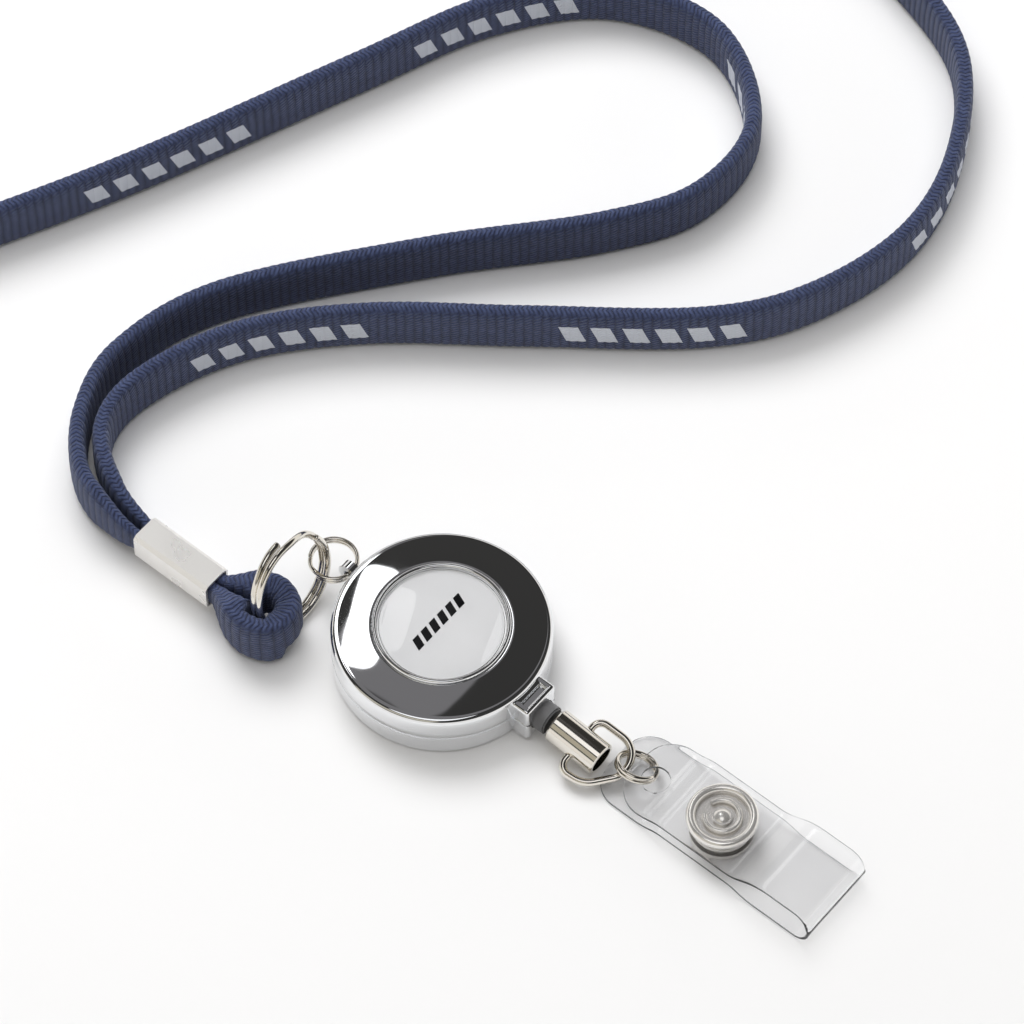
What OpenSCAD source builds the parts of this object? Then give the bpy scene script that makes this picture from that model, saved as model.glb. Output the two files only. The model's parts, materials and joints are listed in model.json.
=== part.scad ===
// Retractable badge reel on a neck lanyard. Millimetres.
// The origin is the centre of the case's flat back face. +X is the way the cord pulls out, +Z is up.
// Everything lies on the plane z = 0: the reel on its back, the lanyard ribbon standing on its edge.

/* [Case] */
// Outside diameter of the round case
case_d = 33; // [32:0.5:42]
// Height of the seam between the two covers, which is also the height of the cord
seam_z = 3.8; // [3.6:0.1:4.8]
// Height of the face at its outer edge
edge_z = 8.6; // [8.4:0.1:11]
// Height of the face beside the label
face_z = 9.4; // [9.2:0.1:12]
// Thickness of the covers' walls
wall = 1; // [0.8:0.1:1.4]
// Radius of the rounded corner round the face
face_round = 0.8; // [0.4:0.1:1]
// Height of the lip that holds the two covers together
lip_h = 1.1; // [0.8:0.1:1.4]

/* [Label] */
// Diameter of the printed label
label_d = 19.2; // [14:0.2:24]
// Width of the thin ring round the label
bezel_w = 0.75; // [0.5:0.05:1.2]
// Depth of the pocket that the label sits in
pocket_depth = 0.7; // [0.5:0.1:1]
// Thickness of the label's disc
label_t = 0.3; // [0.2:0.1:0.5]
// Rise of the clear dome at its middle
dome_rise = 0.85; // [0.4:0.05:1.2]

/* [Spool and spring] */
// Diameter of the cord
cord_d = 0.8; // [0.6:0.05:0.9]
// Radial depth of the cord wound on the spool
winding_depth = 2; // [1:0.1:2.4]
// Outside radius of the spool's hub
hub_r = 10; // [8:0.1:10.4]
// Thickness of the spool's flanges
flange_t = 0.6; // [0.4:0.05:0.8]
// Radius of the centre post
post_r = 1.8; // [1.4:0.05:2.2]
// Number of turns in the spring
spring_turns = 6; // [4:1:7]
// Thickness of the spring strip
spring_t = 0.2; // [0.1:0.05:0.3]

/* [Cord outlet] */
// Width of the outlet block
outlet_w = 6.6; // [6:0.1:8.4]
// How far the outlet block stands out of the case
outlet_out = 2.6; // [2.2:0.1:3.6]
// Outside radius of the rubber bumper
bumper_r = 2.3; // [1.8:0.05:2.4]
// Length of the rubber bumper
bumper_l = 3.55; // [3:0.05:5]

/* [Barrel and D ring] */
// Outside radius of the barrel
barrel_r = 2.65; // [2.4:0.05:3.2]
// Length of the barrel
barrel_l = 9; // [8:0.1:11]
// Thickness of the barrel's wall
barrel_wall = 0.6; // [0.4:0.05:0.7]
// Tilt of the barrel, from the outlet down to the surface it rests on
barrel_tilt = 6.5; // [4:0.5:7]
// Diameter of the D ring's wire
d_wire_d = 1.2; // [0.9:0.05:1.4]
// Length of the D ring, from its bar to its tip
d_ring_l = 7.8; // [7.4:0.1:9.4]

/* [Strap] */
// Width of the strap
strap_w = 13.6; // [12:0.1:16.4]
// Thickness of the strap's clear sheet
strap_t = 0.5; // [0.4:0.05:0.6]
// Length of the folded strap, from its free end to its fold
strap_l = 40.6; // [38:0.1:50]
// Outside diameter of the snap fastener's rolled cap
snap_d = 10.8; // [9:0.1:12]
// Outside diameter of the split ring in the strap
strap_ring_d = 6.8; // [6.6:0.05:7]

/* [Lanyard fittings] */
// Outside diameter of the small ring in the lug
lug_ring_d = 7.8; // [7.6:0.1:9]
// Outside diameter of the large split ring
key_ring_d = 15.9; // [15:0.1:18]
// Length of the metal crimp
crimp_l = 14.3; // [12:0.1:18]
// Width of the lanyard ribbon, which is its height as it stands on edge
ribbon_w = 9.5; // [9:0.1:11.4]
// Thickness of the lanyard ribbon
ribbon_t = 2.8; // [2.2:0.1:3.2]

/* [Hidden] */
$fn = 64;
run = 0.05;      // radial clearance of what turns
fit = 0.02;      // clearance of what is seated

case_r = case_d / 2;
inner_r = case_r - wall;
roof_z = edge_z - 0.7;
bezel_r = label_d / 2 + bezel_w;
pocket_z = face_z - pocket_depth;

// The stack inside the case, from its floor up
floor_z = wall;
washer_t = 0.3;
spool_z = floor_z + washer_t + run;
web_z = spool_z + flange_t;
groove_h = 2 * (seam_z - web_z);
flange_z = web_z + groove_h;
spool_top = flange_z + flange_t;
cover_t = 0.6;
flange_r = inner_r - 1.1;
well_r = hub_r - 0.8;
winding_r = hub_r + winding_depth;
post_head_r = post_r + 1.6;
post_head_t = 0.45;
post_top = roof_z - 0.3;
boss_z = spool_top + cover_t + 0.15;        // the front cover's boss, over the top of the post

// The outlet, the bush in it and the pull end
outlet_x = case_r + outlet_out;
outlet_low = 0.7;
outlet_high = edge_z - 0.6;
bush_r = 1.5;
bush_bore = cord_d / 2 + 0.3;
socket_depth = 1.5;
socket_x = outlet_x - socket_depth;
bush_x = inner_r - 0.6;
lead_r = winding_r + cord_d / 2 + run;      // the radius that the cord leaves the winding at
lead_angle = acos(lead_r / bush_x);
bumper_x = socket_x + fit;
pivot_x = bumper_x + bumper_l + 0.3;        // where the barrel's tilt starts
end_wall = 1;
knot_r = 1.15;
knot_x = end_wall + knot_r + 0.1;
bar_x = 4.8;                                // from the barrel's start to the D ring's bar
d_roll = 12;
d_pitch = 2.8;
d_wire_r = d_wire_d / 2;

// World place of the D ring's bar and tip
bar_at = [pivot_x + bar_x * cos(barrel_tilt), 0, seam_z - bar_x * sin(barrel_tilt)];
tip_x = bar_at[0] + d_ring_l * cos(barrel_tilt + d_pitch);

// The split ring in the strap: two coils of wire, one on the other
strap_wire_r = 0.36;
strap_coil = 0.3;
strap_ring_r = strap_ring_d / 2 - strap_wire_r;
strap_ring_at = [tip_x - 1.8 + strap_ring_r, 2.4, 2.8];
strap_ring_tilt = -28;

// The strap. Its lower layer lies on the surface, and its upper layer carries the ring.
strap_y = 3;
upper_z = strap_ring_at[2];
upper_x = tip_x + d_wire_r + 0.45;
lower_x = upper_x - 4;
fold_x = lower_x + strap_l;
ring_hole_r = 2.2;
ring_hole_x = upper_x + 1.5 + ring_hole_r;
snap_r = snap_d / 2;
snap_x = lower_x + 19.6;
seat_half = snap_r + 0.25;
seat_end = snap_x + seat_half;
low_seat_z = 1.25;
high_seat_z = 3.85;
fold_z = 3.4;
loop_h = 6.6;
low_z = strap_t / 2;
bead_r = strap_t / 2 + 0.05;                // the bead along the fold, which the lower layer turns on
upper_corners = [[upper_x - 1, upper_z], [snap_x - seat_half - 4, upper_z],
    [snap_x - seat_half - 1.2, high_seat_z], [seat_end + 1.2, high_seat_z], [seat_end + 6, loop_h],
    [fold_x - 1, loop_h], [fold_x, fold_z]];
upper_bends = [0, 4, 4, 4, 6, 2.3, 0];
lower_corners = [[fold_x, fold_z], [fold_x - 0.6, low_z], [seat_end + 4, low_z],
    [seat_end + 1.2, low_seat_z], [snap_x - seat_half - 1.2, low_seat_z], [snap_x - seat_half - 4, low_z],
    [lower_x - 1, low_z]];
lower_bends = [0, 2.3, 4, 4, 4, 4, 0];

// The snap's own stack
rivet_r = 1.2;
rivet_hole_r = 1.3;
stud_r = 1.85;
socket_r = 4.6;
stud_low = low_seat_z + strap_t / 2;
socket_low = stud_low + 0.65;
socket_high = high_seat_z - strap_t / 2;
cap_low = high_seat_z + strap_t / 2;
cap_rim_r = 0.75;
cap_base_t = 0.4;

// The lug, its ring and the large split ring
lug_z = 5.4;
lug_t = 1.4;
lug_r = 1.9;
lug_hole_r = 0.9;
tang_half = 1.2;                            // half the height of the lug's tang
tang_depth = wall - 0.65;                   // how far the tang is let into the cover
lug_x = -(case_r + 1.1);
lug_wire_r = 0.45;
lug_ring_r = lug_ring_d / 2 - lug_wire_r;
lug_ring_at = [lug_x - lug_ring_r, 0, lug_z];
key_wire_r = 0.55;
key_coil = 0.5;
key_ring_r = key_ring_d / 2 - key_wire_r;
key_lean = 14;
key_ring_at = [lug_ring_at[0] - 1.45, -0.6 - key_ring_r,
    (key_ring_r + key_wire_r) * cos(key_lean) + (key_wire_r + key_coil) * sin(key_lean) + 0.05];

// The fabric loop round the large ring's far side, and the crimp that closes it
loop_r = 4.3;
loop_t = 2.4;
loop_at = [key_ring_at[0] - 0.3, key_ring_at[1] - key_ring_r + 1.7];
crimp_x = loop_at[0] - 8.7;                 // the crimp's end at the loop
crimp_y = loop_at[1] - 0.8;
crimp_z = ribbon_w / 2;
crimp_w = 5;
crimp_h = 5.5;
crimp_wall = 0.4;
crimp_bevel = 0.6;
strand_t = 1.8;                             // a strand squeezed in the crimp
strand_h = 4.3;
strand_off = 1.02;
loop_lift = 3.4;                            // the ring passes below this height
crimp_back = crimp_x - crimp_l;

// The ribbon's route from the crimp's back end and round to it again, from that end's middle
ribbon_route = [[1.5, -1.02], [-5, -1.1], [-14, 1.5], [-21, 9.5], [-24, 21.5], [-19, 39.5], [0, 65.5],
    [18, 86.5], [26, 101], [24, 116.5], [9, 126.5], [-9, 122.5], [-22, 107.5], [-31, 85.5], [-44, 52.5],
    [-55, 28.5], [-63, 14.5], [-78, 8.5], [-97, 22.5], [-107, 48.5], [-97, 80.5], [-71, 93.5],
    [-52, 106.5], [-42, 129.5], [-27, 153.5], [-4, 160.5], [22, 155.5], [41, 147.5], [52, 131.5],
    [55.5, 114.5], [51, 96.5], [41, 82.5], [20, 65.5], [1, 50.5], [-12, 35.5], [-18, 19.5],
    [-16.5, 9], [-8, 2.7], [1.5, 1.02]];
taper_l = 9;                                // the ribbon narrows over this length into the crimp

// ---- curves and sweeps ----

// A smooth curve through points, with n steps between each two
function along(p, n) = [for (i = [0:len(p) - 2], k = [0:n - 1]) spot(p, i, k / n), p[len(p) - 1]];
function at_end(p, i) = p[min(max(i, 0), len(p) - 1)];
function spot(p, i, t) = let (a = at_end(p, i - 1), b = p[i], c = p[i + 1], d = at_end(p, i + 2))
    0.5 * (2 * b + (c - a) * t + (2 * a - 5 * b + 4 * c - d) * t * t + (3 * b - a - 3 * c + d) * t * t * t);
function heading(p, i) = let (v = at_end(p, i + 1) - at_end(p, i - 1)) v / norm(v);
function side(p, i) = let (v = heading(p, i)) [-v[1], v[0]];

// A flat sheet's outline: the line's two sides, t / 2 away
function sheet(p, t) = concat([for (i = [0:len(p) - 1]) p[i] + side(p, i) * t / 2],
    [for (i = [len(p) - 1:-1:0]) p[i] - side(p, i) * t / 2]);

// One ring of a ribbon that stands on edge: t thick, h high, with its corners cut off
function ribbon_ring(at, across, z, t, h) = let (c = t * 0.28)
    [for (q = [[-t / 2, h / 2 - c], [-t / 2 + c, h / 2], [t / 2 - c, h / 2], [t / 2, h / 2 - c],
        [t / 2, c - h / 2], [t / 2 - c, -h / 2], [c - t / 2, -h / 2], [-t / 2, c - h / 2]])
        [at[0] + across[0] * q[0], at[1] + across[1] * q[0], z + q[1]]];

// A closed tube through rings that have the same number of points
module skin(rings) {
    n = len(rings);
    m = len(rings[0]);
    polyhedron([for (r = rings) each r],
        concat([[for (k = [0:m - 1]) k]],
            [for (i = [0:n - 2], k = [0:m - 1]) let (low = m * i, next = (k + 1) % m)
                [low + k, low + m + k, low + m + next, low + next]],
            [[for (k = [m - 1:-1:0]) m * (n - 1) + k]]), convexity = 6);
}

// Distance along a line to point i
function reach(p, i) = i == 0 ? 0 : norm(p[i] - p[i - 1]) + reach(p, i - 1);

// ---- small shapes ----

module tube(r, bore, h) {
    difference() {
        cylinder(r = r, h = h);
        translate([0, 0, -1]) cylinder(r = bore, h = h + 2);
    }
}

function unit(v) = v / norm(v);

// A ball a little fatter than the wire, which closes the corner between two straights
module joint_ball(at, wire) {
    translate(at) sphere(r = wire + 0.03, $fn = 32);
}

// Corner i of an outline, rounded with radius r by steps + 1 points
function rounded(p, r, i, steps) = let (n = len(p), u = unit(p[i] - p[(i + n - 1) % n]),
    v = unit(p[(i + 1) % n] - p[i]), whole = atan2(u[0] * v[1] - u[1] * v[0], u * v),
    back = r * tan(abs(whole) / 2), centre = p[i] - u * back + sign(whole) * [-u[1], u[0]] * r)
    [for (k = [0:steps]) let (a = atan2(u[1], u[0]) - 90 * sign(whole) + whole * k / steps)
        centre + r * [cos(a), sin(a)]];

// An open line through corners, each but the ends rounded with its own radius
function bent_line(p, r, steps) = let (n = len(p))
    concat([p[0]], [for (i = [1:n - 2]) each rounded(p, r[i], i, steps)], [p[n - 1]]);

// One ring of a round wire that lies flat
function wire_ring(at, across, r) = [for (a = [0:30:330])
    [at[0] + across[0] * r * cos(a), at[1] + across[1] * r * cos(a), r * sin(a)]];

// A split ring: two coils of wire side by side along its axis
module split_ring(r, wire, coil) {
    rotate_extrude($fn = 96) translate([r, 0]) {
        translate([0, coil]) circle(r = wire, $fn = 32);
        translate([0, -coil]) circle(r = wire, $fn = 32);
        translate([-wire * 0.6, -coil]) square([wire * 1.2, 2 * coil]);
    }
}

// ---- case ----

// The outlet block's plan: a rectangle with rounded outer corners
module outlet_plan() {
    round = 0.6;
    translate([inner_r + 0.2, -outlet_w / 2]) square([outlet_x - inner_r - 0.2 - round, outlet_w]);
    translate([inner_r + 0.2, -outlet_w / 2 + round]) square([outlet_x - inner_r - 0.2, outlet_w - 2 * round]);
    for (s = [-1, 1]) translate([outlet_x - round, s * (outlet_w / 2 - round)]) circle(r = round);
}

// What both covers leave free: the bush's bore and the bumper's socket
module outlet_cuts() {
    translate([bush_x, 0, seam_z]) rotate([0, 90, 0]) cylinder(r = bush_r + fit, h = outlet_x - bush_x);
    translate([socket_x, 0, seam_z]) rotate([0, 90, 0]) cylinder(r = bumper_r + 0.15, h = socket_depth + 1);
}

module back_cover() {
    color([0.82, 0.83, 0.84]) difference() {
        union() {
            rotate_extrude() difference() {
                union() {
                    translate([0, 0]) square([case_r - 0.5, seam_z - fit]);
                    translate([0, 0.5]) square([case_r, seam_z - fit - 0.5]);
                    translate([case_r - 0.5, 0.5]) circle(r = 0.5, $fn = 32);
                    square([inner_r + 0.45, seam_z + lip_h]);
                }
                translate([-1, floor_z]) square([inner_r + 1, seam_z + lip_h]);
            }
            translate([0, 0, outlet_low]) linear_extrude(seam_z - fit - outlet_low) outlet_plan();
        }
        outlet_cuts();
        translate([inner_r - 1, -outlet_w / 2, seam_z - fit]) cube([3, outlet_w, lip_h + 1]);
        translate([0, 0, -1]) cylinder(r = post_r + fit, h = floor_z + 2);
        translate([0, 0, -1]) cylinder(r = post_head_r + fit, h = post_head_t + 1.1);
    }
}

module front_cover() {
    color([0.78, 0.79, 0.8]) difference() {
        union() {
            rotate_extrude() difference() {
                union() {
                    translate([0, seam_z + fit]) square([case_r, edge_z - face_round - seam_z - fit]);
                    translate([case_r - face_round, edge_z - face_round]) circle(r = face_round, $fn = 48);
                    polygon([[0, seam_z + fit], [case_r - face_round, seam_z + fit],
                        [case_r - face_round, edge_z], [bezel_r, face_z], [0, face_z]]);
                }
                translate([-1, seam_z - 1]) square([inner_r + 1, roof_z - seam_z + 1]);
                translate([-1, seam_z - 1]) square([inner_r + 0.47 + 1, lip_h + 1.05]);
                translate([-1, pocket_z]) square([bezel_r + 1, pocket_depth + 1]);
            }
            translate([0, 0, seam_z + fit]) linear_extrude(outlet_high - seam_z - fit) outlet_plan();
            translate([0, 0, boss_z]) cylinder(r = post_r + 1.1, h = roof_z + 0.2 - boss_z);
        }
        outlet_cuts();
        translate([0, 0, seam_z]) cylinder(r = post_r + fit, h = roof_z - seam_z - 0.05);
        translate([-case_r - 0.3, -lug_t / 2 - fit, lug_z - tang_half - fit])
            cube([0.3 + tang_depth + fit, lug_t + 2 * fit, 2 * (tang_half + fit)]);
    }
}

module label_bezel() {
    color([0.86, 0.86, 0.87]) rotate_extrude() {
        translate([label_d / 2 + fit, pocket_z]) square([bezel_w - 2 * fit, pocket_depth + 0.1]);
        translate([label_d / 2 + bezel_w / 2, face_z + 0.1]) circle(r = bezel_w / 2 - fit, $fn = 32);
    }
}

module label_disc() {
    color([0.95, 0.95, 0.95]) translate([0, 0, pocket_z]) cylinder(r = label_d / 2 - fit, h = label_t);
}

// A shallow cap of clear resin, part of a large ball
module label_dome() {
    r = label_d / 2 - 0.1;
    low = pocket_z + label_t;
    ball = (r * r + dome_rise * dome_rise) / (2 * dome_rise);
    steps = 14;
    arc = [for (k = [0:steps]) let (x = r * k / steps) [x, low + dome_rise - ball + sqrt(ball * ball - x * x)]];
    color([0.9, 0.95, 1, 0.3]) rotate_extrude() polygon(concat([[0, low]], arc));
}

module centre_post() {
    color([0.6, 0.6, 0.62]) {
        cylinder(r = post_head_r, h = post_head_t);
        cylinder(r = post_r, h = post_top);
    }
}

module outlet_bush() {
    color([0.9, 0.9, 0.86]) translate([bush_x - 0.05, 0, seam_z]) rotate([0, 90, 0]) difference() {
        union() {
            cylinder(r = bush_r, h = socket_x - bush_x);
            cylinder(r = bush_r + 0.5, h = 0.35);
        }
        translate([0, 0, -1]) cylinder(r = bush_bore, h = 6);
        translate([0, 0, -0.05]) cylinder(r1 = bush_bore + 0.5, r2 = bush_bore - 0.1, h = 0.7);
    }
}

module ring_lug() {
    color([0.82, 0.83, 0.84]) difference() {
        union() {
            difference() {
                translate([lug_x, lug_t / 2, lug_z]) rotate([90, 0, 0]) cylinder(r = lug_r, h = lug_t);
                translate([0, 0, lug_z - 3]) cylinder(r = case_r + fit, h = 6);
            }
            translate([lug_x, -lug_t / 2, lug_z - tang_half])
                cube([tang_depth - case_r - lug_x, lug_t, 2 * tang_half]);
        }
        translate([lug_x, lug_t, lug_z]) rotate([90, 0, 0]) cylinder(r = lug_hole_r, h = 2 * lug_t);
    }
}

// ---- spool, spring and cord ----

module spool_washer() {
    color([0.95, 0.95, 0.9]) translate([0, 0, floor_z]) tube(post_r + 3, post_r + run, washer_t);
}

module spool() {
    color([0.2, 0.2, 0.22]) rotate_extrude() difference() {
        union() {
            translate([0, spool_z]) square([hub_r, spool_top - spool_z]);
            translate([0, spool_z]) square([flange_r, flange_t]);
            translate([0, flange_z]) square([flange_r, flange_t]);
        }
        translate([-1, 0]) square([post_r + run + 1, spool_top + 1]);
        translate([-1, web_z]) square([well_r + 1, spool_top]);
    }
}

module spring_cover() {
    color([0.92, 0.92, 0.88]) translate([0, 0, spool_top]) tube(hub_r - 0.3, post_r + run, cover_t);
}

// The strip starts round the post and ends against the wall of the spool's well
module power_spring() {
    first_r = post_r + spring_t / 2 + 0.08;
    last_r = well_r - spring_t / 2 - 0.05;
    steps = 24;
    line = [for (i = [0:spring_turns * steps]) let (f = i / (spring_turns * steps), a = -360 * i / steps)
        (first_r + (last_r - first_r) * f) * [cos(a), sin(a)]];
    color([0.5, 0.55, 0.62]) translate([0, 0, web_z + 0.3])
        linear_extrude(spool_top - web_z - 0.6, convexity = 8) polygon(sheet(line, spring_t));
}

module cord_winding() {
    low = web_z + 0.1;
    color([0.1, 0.1, 0.11]) translate([0, 0, low]) tube(winding_r, hub_r + fit, groove_h - 0.2);
}

// The straight of cord from the winding into the bush, then through the bush
module cord_lead() {
    from = lead_r * [cos(lead_angle), -sin(lead_angle)];
    color([0.1, 0.1, 0.11]) {
        translate([from[0], from[1], seam_z]) rotate([0, 90, 90 - lead_angle])
            cylinder(r = cord_d / 2, h = bush_x * sin(lead_angle), $fn = 24);
        joint_ball([bush_x, 0, seam_z], cord_d / 2);
        translate([bush_x, 0, seam_z]) rotate([0, 90, 0])
            cylinder(r = cord_d / 2, h = socket_x - bush_x - fit, $fn = 24);
    }
}

// ---- pull end ----

module at_barrel() {
    translate([pivot_x, 0, seam_z]) rotate([0, barrel_tilt, 0]) children();
}

module bumper() {
    color([0.23, 0.24, 0.26]) translate([bumper_x, 0, seam_z]) rotate([0, 90, 0]) difference() {
        tube(bumper_r, cord_d / 2 + 0.1, bumper_l);
        translate([0, 0, bumper_l - 0.25]) tube(bumper_r + 1, bumper_r - 0.25, 1);
    }
}

// The end of the cord, through the bumper and the barrel's end wall, with its knot
module cord_knot() {
    color([0.1, 0.1, 0.11]) {
        translate([bumper_x + 0.1, 0, seam_z]) rotate([0, 90, 0])
            cylinder(r = cord_d / 2, h = pivot_x - bumper_x - 0.1, $fn = 24);
        joint_ball([pivot_x, 0, seam_z], cord_d / 2);
        at_barrel() rotate([0, 90, 0]) cylinder(r = cord_d / 2, h = knot_x, $fn = 24);
        at_barrel() translate([knot_x, 0, 0]) sphere(r = knot_r, $fn = 32);
    }
}

module barrel() {
    chamfer = 0.5;
    color([0.8, 0.78, 0.72]) at_barrel() difference() {
        rotate([0, 90, 0]) rotate_extrude() polygon([[cord_d / 2 + 0.15, 0], [barrel_r - chamfer, 0],
            [barrel_r, chamfer], [barrel_r, barrel_l - 0.2], [barrel_r - 0.2, barrel_l],
            [barrel_r - barrel_wall, barrel_l], [barrel_r - barrel_wall, end_wall],
            [cord_d / 2 + 0.15, end_wall]]);
        rotate([d_roll, 0, 0]) translate([bar_x, barrel_r + 1, 0]) rotate([90, 0, 0])
            cylinder(r = d_wire_r + run, h = 2 * barrel_r + 2);
    }
}

// A true round bar through the barrel, and a bent wire from one end of it to the other
module d_ring() {
    corners = [[0, -5], [4.4, -4.5], [d_ring_l, -0.3], [d_ring_l, 4.9], [0, 4.6]];
    bends = [1.2, 3, 2, 2, 1.2];
    line = [for (i = [0:4]) each rounded(corners, bends[i], i, 5)];
    n = len(line);
    low = line[0][1] - 0.3;
    high = line[n - 1][1] + 0.3;
    color([0.78, 0.77, 0.74]) at_barrel() rotate([d_roll, 0, 0]) translate([bar_x, 0, 0])
        rotate([0, d_pitch, 0]) {
            skin([for (i = [0:n - 1]) wire_ring(line[i], side(line, i), d_wire_r + 0.04)]);
            translate([0, low, 0]) rotate([-90, 0, 0]) cylinder(r = d_wire_r, h = high - low, $fn = 48);
        }
}

module strap_ring() {
    color([0.78, 0.77, 0.74]) translate(strap_ring_at) rotate([strap_ring_tilt, 0, 0])
        split_ring(strap_ring_r, strap_wire_r, strap_coil);
}

// ---- strap ----

// The plan of one layer: square at the fold and rounded at its free end
module strap_plan(end_x, round) {
    low = strap_y - strap_w / 2;
    high = strap_y + strap_w / 2;
    far = fold_x + 2;
    corners = [[end_x, high], [end_x, low], [far, low], [far, high]];
    polygon([each rounded(corners, round, 0, 8), each rounded(corners, round, 1, 8), corners[2], corners[3]]);
}

module strap_layer(corners, bends, end_x, round) {
    intersection() {
        translate([0, strap_y + strap_w / 2 + 1, 0]) rotate([90, 0, 0])
            linear_extrude(strap_w + 2, convexity = 6) polygon(sheet(bent_line(corners, bends, 6), strap_t));
        translate([0, 0, -1]) linear_extrude(loop_h + 3) strap_plan(end_x, round);
    }
}

module strap_upper() {
    color([0.9, 0.93, 0.95, 0.35]) difference() {
        union() {
            strap_layer(upper_corners, upper_bends, upper_x, 5);
            translate([fold_x, strap_y + strap_w / 2, fold_z]) rotate([90, 0, 0])
                cylinder(r = bead_r, h = strap_w, $fn = 24);
        }
        translate([ring_hole_x, strap_ring_at[1], 0]) cylinder(r = ring_hole_r, h = 5);
        translate([snap_x, strap_y, high_seat_z - 1]) cylinder(r = rivet_hole_r, h = 2);
    }
}

module strap_lower() {
    color([0.9, 0.93, 0.95, 0.35]) difference() {
        strap_layer(lower_corners, lower_bends, lower_x, 4.5);
        translate([snap_x, strap_y, 0]) cylinder(r = rivet_hole_r, h = low_seat_z + 1);
        translate([fold_x, strap_y + strap_w, fold_z]) rotate([90, 0, 0])
            cylinder(r = bead_r + run, h = 2 * strap_w, $fn = 24);
    }
}

// ---- snap ----

// The rolled cap on top, riveted down into the socket
module snap_cap() {
    floor_top = cap_low + cap_base_t;
    color([0.8, 0.79, 0.76]) translate([snap_x, strap_y, 0]) rotate_extrude() {
        translate([0, cap_low]) square([snap_r - cap_rim_r, cap_base_t]);
        translate([snap_r - cap_rim_r, cap_low + cap_rim_r]) circle(r = cap_rim_r, $fn = 32);
        translate([0, cap_low]) square([1.5, 0.9]);
        translate([0, floor_top]) intersection() {
            square([1.5, 1]);
            translate([0, -1.1]) circle(r = 2, $fn = 48);
        }
        translate([0, socket_high - 0.4 + fit]) square([rivet_r, cap_low - socket_high + 0.4]);
    }
}

// The open spring ring in the cap's groove
module snap_spring() {
    opening = 50;
    color([0.75, 0.74, 0.7]) translate([snap_x, strap_y, cap_low + cap_base_t + 0.45])
        rotate(190 + opening / 2) rotate_extrude(angle = 360 - opening) translate([2.6, 0]) circle(r = 0.42, $fn = 24);
}

module snap_socket() {
    color([0.74, 0.73, 0.7]) translate([snap_x, strap_y, 0]) rotate_extrude() difference() {
        translate([0, socket_low]) square([socket_r, socket_high - socket_low]);
        translate([-1, socket_low - 1]) square([stud_r + 0.12 + 1, 2]);
        translate([-1, socket_low]) square([rivet_r + fit + 1, 5]);
        translate([socket_r, (socket_low + socket_high) / 2]) circle(r = 0.25, $fn = 24);
    }
}

module snap_stud() {
    color([0.74, 0.73, 0.7]) translate([snap_x, strap_y, 0]) rotate_extrude() difference() {
        union() {
            translate([0, stud_low]) square([socket_r - 0.2, 0.55]);
            translate([0, stud_low]) square([stud_r, socket_low + 0.85 - stud_low]);
        }
        translate([-1, 0]) square([rivet_r + fit + 1, stud_low + 0.6]);
    }
}

module snap_back() {
    low = 0.15;
    color([0.74, 0.73, 0.7]) translate([snap_x, strap_y, 0]) rotate_extrude() {
        translate([0, low]) square([snap_r - 0.6, low_seat_z - strap_t / 2 - low]);
        translate([0, low]) square([rivet_r, stud_low + 0.5 - low]);
    }
}

// ---- rings, loop, crimp and ribbon of the lanyard ----

module lug_ring() {
    color([0.8, 0.79, 0.76]) translate(lug_ring_at)
        rotate_extrude($fn = 96) translate([lug_ring_r, 0]) circle(r = lug_wire_r, $fn = 32);
}

module key_ring() {
    color([0.8, 0.79, 0.76]) translate(key_ring_at) rotate([0, 90 - key_lean, 0])
        split_ring(key_ring_r, key_wire_r, key_coil);
}

module lanyard_loop() {
    r = loop_r;
    line = along([[crimp_x - 2, crimp_y - strand_off], [crimp_x + 1, crimp_y - strand_off - 0.15],
        [loop_at[0] - 5, loop_at[1] - 3.2], [loop_at[0] - 2.6, loop_at[1] - 4.1], [loop_at[0], loop_at[1] - r],
        [loop_at[0] + r * 0.72, loop_at[1] - r * 0.7], [loop_at[0] + r, loop_at[1]],
        [loop_at[0] + r * 0.72, loop_at[1] + r * 0.7], [loop_at[0], loop_at[1] + r],
        [loop_at[0] - 3, loop_at[1] + 3.4], [loop_at[0] - 5.6, loop_at[1] + 1.6],
        [crimp_x + 1, crimp_y + strand_off + 0.3], [crimp_x - 2, crimp_y + strand_off]], 3);
    n = len(line);
    grow = [for (i = [0:n - 1]) let (x = line[i][0] - crimp_x - 0.5) min(max(x / 4.5, 0), 1)];
    color([0.17, 0.24, 0.42]) difference() {
        skin([for (i = [0:n - 1]) ribbon_ring(line[i], side(line, i), crimp_z,
            strand_t + (loop_t - strand_t) * grow[i], strand_h + (ribbon_w - 0.4 - strand_h) * grow[i])]);
        translate([loop_at[0] - 3.4, loop_at[1] - 0.9, -1]) cube([12, 8, loop_lift + 1]);
    }
}

module crimp() {
    w = crimp_w / 2;
    h = crimp_h / 2;
    b = crimp_bevel;
    color([0.84, 0.82, 0.76]) translate([crimp_back, crimp_y, crimp_z]) rotate([90, 0, 90])
        linear_extrude(crimp_l) difference() {
            polygon([[-w, b - h], [b - w, -h], [w - b, -h], [w, b - h], [w, h - b], [w - b, h], [b - w, h], [-w, h - b]]);
            square([crimp_w - 2 * crimp_wall, crimp_h - 2 * crimp_wall], center = true);
        }
}

module lanyard_ribbon() {
    line = along(ribbon_route, 2);
    n = len(line);
    whole = reach(line, n - 1);
    grow = [for (i = [0:n - 1]) let (d = reach(line, i)) min(max((min(d, whole - d) - 2) / taper_l, 0), 1)];
    color([0.17, 0.24, 0.42]) translate([crimp_back, crimp_y, 0]) skin([for (i = [0:n - 1])
        ribbon_ring(line[i], side(line, i), crimp_z, strand_t + (ribbon_t - strand_t) * grow[i],
            strand_h + (ribbon_w - strand_h) * grow[i])]);
}

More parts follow.
